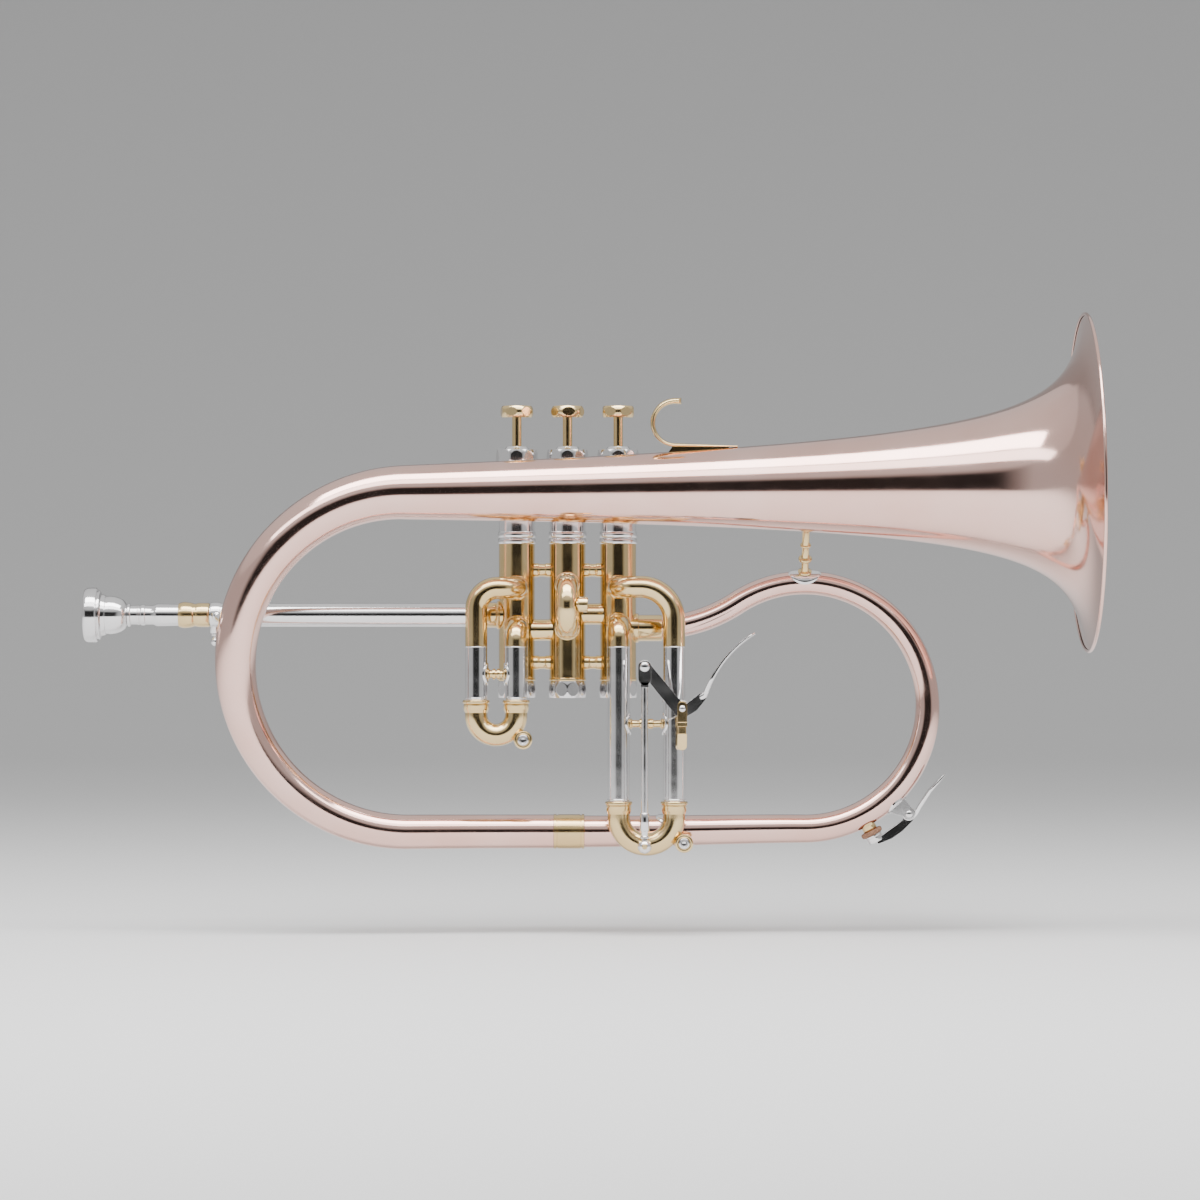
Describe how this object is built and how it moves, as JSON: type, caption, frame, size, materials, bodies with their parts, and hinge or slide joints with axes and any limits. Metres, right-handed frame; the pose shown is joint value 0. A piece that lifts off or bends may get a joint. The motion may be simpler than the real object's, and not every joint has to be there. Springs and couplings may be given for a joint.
{
  "type": "flugelhorn",
  "caption": "Flugelhorn with piston valves, wide bell, push-in leadpipe, third-slide trigger and water keys.",
  "frame": {"origin": "second valve's axis at the height of the leadpipe, where the hand grips the valves", "axes": "+X towards the bell, +Z towards the finger buttons, -Y to the player's right hand side"},
  "size_m": [0.4696, 0.158, 0.2525],
  "materials": {
    "rose_copper": "polished and lacquered",
    "yellow_brass": "polished and lacquered",
    "silver_plate": "polished plate",
    "spring_steel": "drawn wire",
    "cork": "matt"
  },
  "bodies": {
    "horn": {"bell": "rose_copper", "bow": "rose_copper", "bow_ferrule": "yellow_brass", "loop_tube": "rose_copper", "exit_ferrule": "yellow_brass", "casing_1": "yellow_brass", "casing_2": "yellow_brass", "casing_3": "yellow_brass", "barrel_1": "silver_plate", "barrel_2": "silver_plate", "barrel_3": "silver_plate", "top_cap_1": "silver_plate", "top_cap_2": "silver_plate", "top_cap_3": "silver_plate", "bottom_cap_1": "silver_plate", "bottom_cap_2": "silver_plate", "bottom_cap_3": "silver_plate", "valve_braces": "yellow_brass", "knuckles": "yellow_brass", "leadpipe_sleeve": "silver_plate", "leadpipe_ferrule": "yellow_brass", "leadpipe_collar": "silver_plate", "first_elbows": "yellow_brass", "first_outer_tubes": "silver_plate", "first_brace": "yellow_brass", "second_outer_tubes": "yellow_brass", "third_elbows": "yellow_brass", "third_outer_tubes": "silver_plate", "third_brace": "yellow_brass", "trigger_post": "yellow_brass", "tube_foot": "silver_plate", "bell_brace": "yellow_brass", "brace_saddle": "silver_plate", "finger_hook": "yellow_brass", "key_nipple": "yellow_brass", "key_saddle": "silver_plate", "valve_spring_1": "spring_steel", "valve_spring_2": "spring_steel", "valve_spring_3": "spring_steel"},
    "valve_1": {"piston_1": "silver_plate", "button_1": "yellow_brass"},
    "valve_2": {"piston_2": "silver_plate", "button_2": "yellow_brass"},
    "valve_3": {"piston_3": "silver_plate", "button_3": "yellow_brass"},
    "first_slide": {"first_crook": "yellow_brass"},
    "first_key": {"first_key_button": "silver_plate"},
    "second_slide": {"second_crook": "yellow_brass", "second_knob": "yellow_brass"},
    "third_slide": {"third_crook": "yellow_brass"},
    "third_key": {"third_key_button": "silver_plate"},
    "trigger": {"trigger_lever": "silver_plate"},
    "rod": {"trigger_rod": "silver_plate"},
    "leadpipe": {"inner_leadpipe": "silver_plate", "receiver": "yellow_brass"},
    "mouthpiece": {"mouthpiece": "silver_plate"},
    "lock_screw": {"lock_screw": "silver_plate"},
    "water_key": {"water_key": "silver_plate", "key_cork": "cork"}
  },
  "joints": [
    {"name": "valve_1_press", "type": "slide", "parent": "horn", "child": "valve_1", "axis": [0, 0, -1], "range_m": [0, 0.0125], "stiffness_N_per_m": 120, "springref_m": -0.02, "deforming": ["valve_spring_1"]},
    {"name": "valve_2_press", "type": "slide", "parent": "horn", "child": "valve_2", "axis": [0, 0, -1], "range_m": [0, 0.0125], "stiffness_N_per_m": 120, "springref_m": -0.02, "deforming": ["valve_spring_2"]},
    {"name": "valve_3_press", "type": "slide", "parent": "horn", "child": "valve_3", "axis": [0, 0, -1], "range_m": [0, 0.0125], "stiffness_N_per_m": 120, "springref_m": -0.02, "deforming": ["valve_spring_3"]},
    {"name": "first_slide_pull", "type": "slide", "parent": "horn", "child": "first_slide", "axis": [0, 0, -1], "range_m": [0, 0.02]},
    {"name": "first_key_press", "type": "slide", "parent": "first_slide", "child": "first_key", "axis": [0, 1, 0], "range_m": [0, 0.002], "stiffness_N_per_m": 300, "springref_m": -0.002},
    {"name": "second_slide_pull", "type": "slide", "parent": "horn", "child": "second_slide", "axis": [0, -1, 0], "range_m": [0, 0.008]},
    {"name": "trigger_pull", "type": "hinge", "parent": "horn", "child": "trigger", "pos_m": [0.0534, -0.0276, -0.0433], "axis": [0, -1, 0], "range_deg": [0, 30], "stiffness_Nm_per_rad": 0.02, "springref_deg": -51.57},
    {"name": "third_slide_throw", "type": "slide", "parent": "horn", "child": "third_slide", "axis": [0, 0, -1], "range_m": [0, 0.0106]},
    {"name": "third_key_press", "type": "slide", "parent": "third_slide", "child": "third_key", "axis": [0, 1, 0], "range_m": [0, 0.002], "stiffness_N_per_m": 300, "springref_m": -0.002},
    {"name": "rod_tilt", "type": "hinge", "parent": "third_slide", "child": "rod", "pos_m": [0.03597, -0.0276, -0.1072], "axis": [0, -1, 0], "range_deg": [0, 5.41]},
    {"name": "leadpipe_tuning", "type": "slide", "parent": "horn", "child": "leadpipe", "axis": [-1, 0, 0], "range_m": [0, 0.015]},
    {"name": "mouthpiece_pull", "type": "slide", "parent": "leadpipe", "child": "mouthpiece", "axis": [-1, 0, 0], "range_m": [0, 0.028]},
    {"name": "lock_screw_turn", "type": "hinge", "parent": "horn", "child": "lock_screw", "pos_m": [-0.1654, 0, -0.0125], "axis": [0, 0, 1], "range_deg": [-360, 360]},
    {"name": "water_key_press", "type": "hinge", "parent": "horn", "child": "water_key", "pos_m": [0.1603, 0, -0.0934], "axis": [0, -1, 0], "range_deg": [0, 14], "stiffness_Nm_per_rad": 0.01, "springref_deg": -45.84}
  ],
  "couplings": [
    {"joint": "trigger_pull", "follows": "third_slide_throw", "rad_per_m": 49.383},
    {"joint": "rod_tilt", "follows": "third_slide_throw", "rad_per_m": 8.8889}
  ]
}
